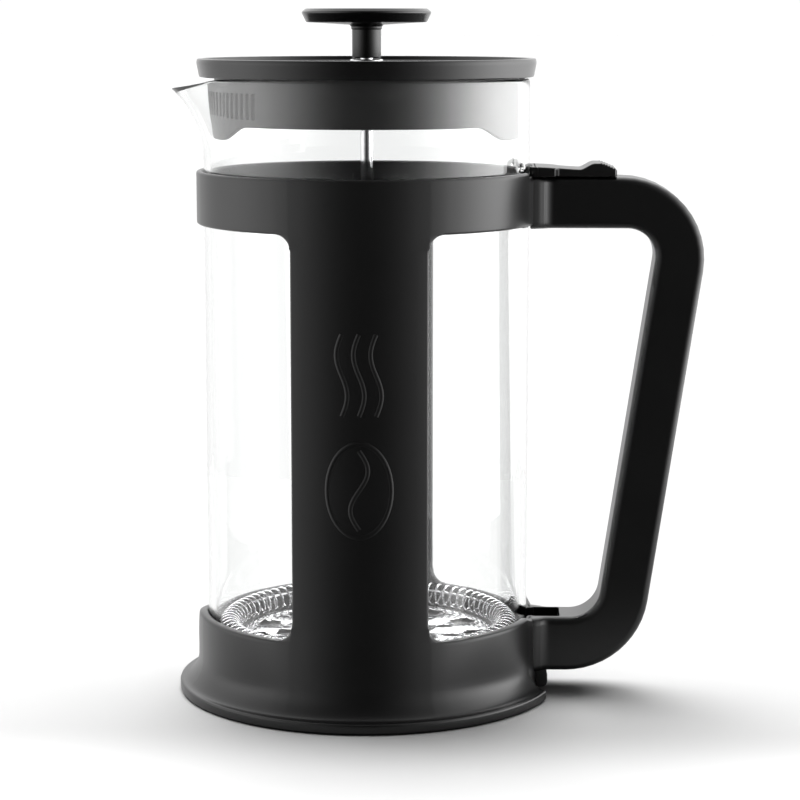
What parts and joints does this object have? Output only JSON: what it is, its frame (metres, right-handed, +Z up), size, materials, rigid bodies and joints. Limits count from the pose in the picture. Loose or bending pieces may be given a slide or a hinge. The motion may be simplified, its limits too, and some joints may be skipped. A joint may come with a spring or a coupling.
{
  "type": "french press",
  "caption": "Tall glass coffee press in a plastic frame with a C-shaped handle, slide lock, round lid with strainer skirt, and a knobbed plunger with a sprung filter.",
  "frame": {"origin": "on the ground under the middle of the whole press, which is 21.8 mm along +X from the beaker's axis", "axes": "+Z up along the beaker, +X towards the handle, -X towards the spout, -Y towards the front strap"},
  "size_m": [0.1632, 0.1184, 0.2115],
  "materials": {
    "black_plastic": "satin moulded",
    "lid_plastic": "satin moulded",
    "strainer_plastic": "satin moulded",
    "clear_glass": "clear polished",
    "chrome_rod": "polished",
    "chrome_plate": "polished pressed",
    "bright_steel": "turned",
    "spring_steel": "drawn wire",
    "brass_insert": "knurled"
  },
  "bodies": {
    "frame": {"frame_base": "black_plastic", "frame_collar": "black_plastic", "frame_front_strap": "black_plastic", "frame_back_strap": "black_plastic", "handle": "black_plastic"},
    "lock": {"lock_slider": "black_plastic"},
    "beaker": {"glass_beaker": "clear_glass"},
    "lid_hub": {"lid_bushing": "bright_steel"},
    "lid": {"lid_cover": "lid_plastic", "lid_strainer": "strainer_plastic"},
    "plunger": {"knob": "lid_plastic", "knob_insert": "brass_insert", "plunger_rod": "chrome_rod", "rod_collar": "chrome_rod", "spiral_plate": "chrome_plate", "edge_coil": "spring_steel", "mesh_filter": "spring_steel", "cross_plate": "chrome_plate", "hub_nut": "bright_steel"}
  },
  "joints": [
    {"name": "lock_slide", "type": "slide", "parent": "frame", "child": "lock", "axis": [1, 0, 0], "range_m": [0, 0.005]},
    {"name": "beaker_lift", "type": "slide", "parent": "frame", "child": "beaker", "axis": [0, 0, 1], "range_m": [0, 0.17]},
    {"name": "lid_lift", "type": "slide", "parent": "beaker", "child": "lid_hub", "axis": [0, 0, 1], "range_m": [0, 0.185]},
    {"name": "lid_turn", "type": "hinge", "parent": "lid_hub", "child": "lid", "pos_m": [-0.02176, 0, 0.193], "axis": [0, 0, 1], "continuous": true},
    {"name": "plunger_press", "type": "slide", "parent": "lid_hub", "child": "plunger", "axis": [0, 0, 1], "range_m": [0, 0.14]}
  ]
}
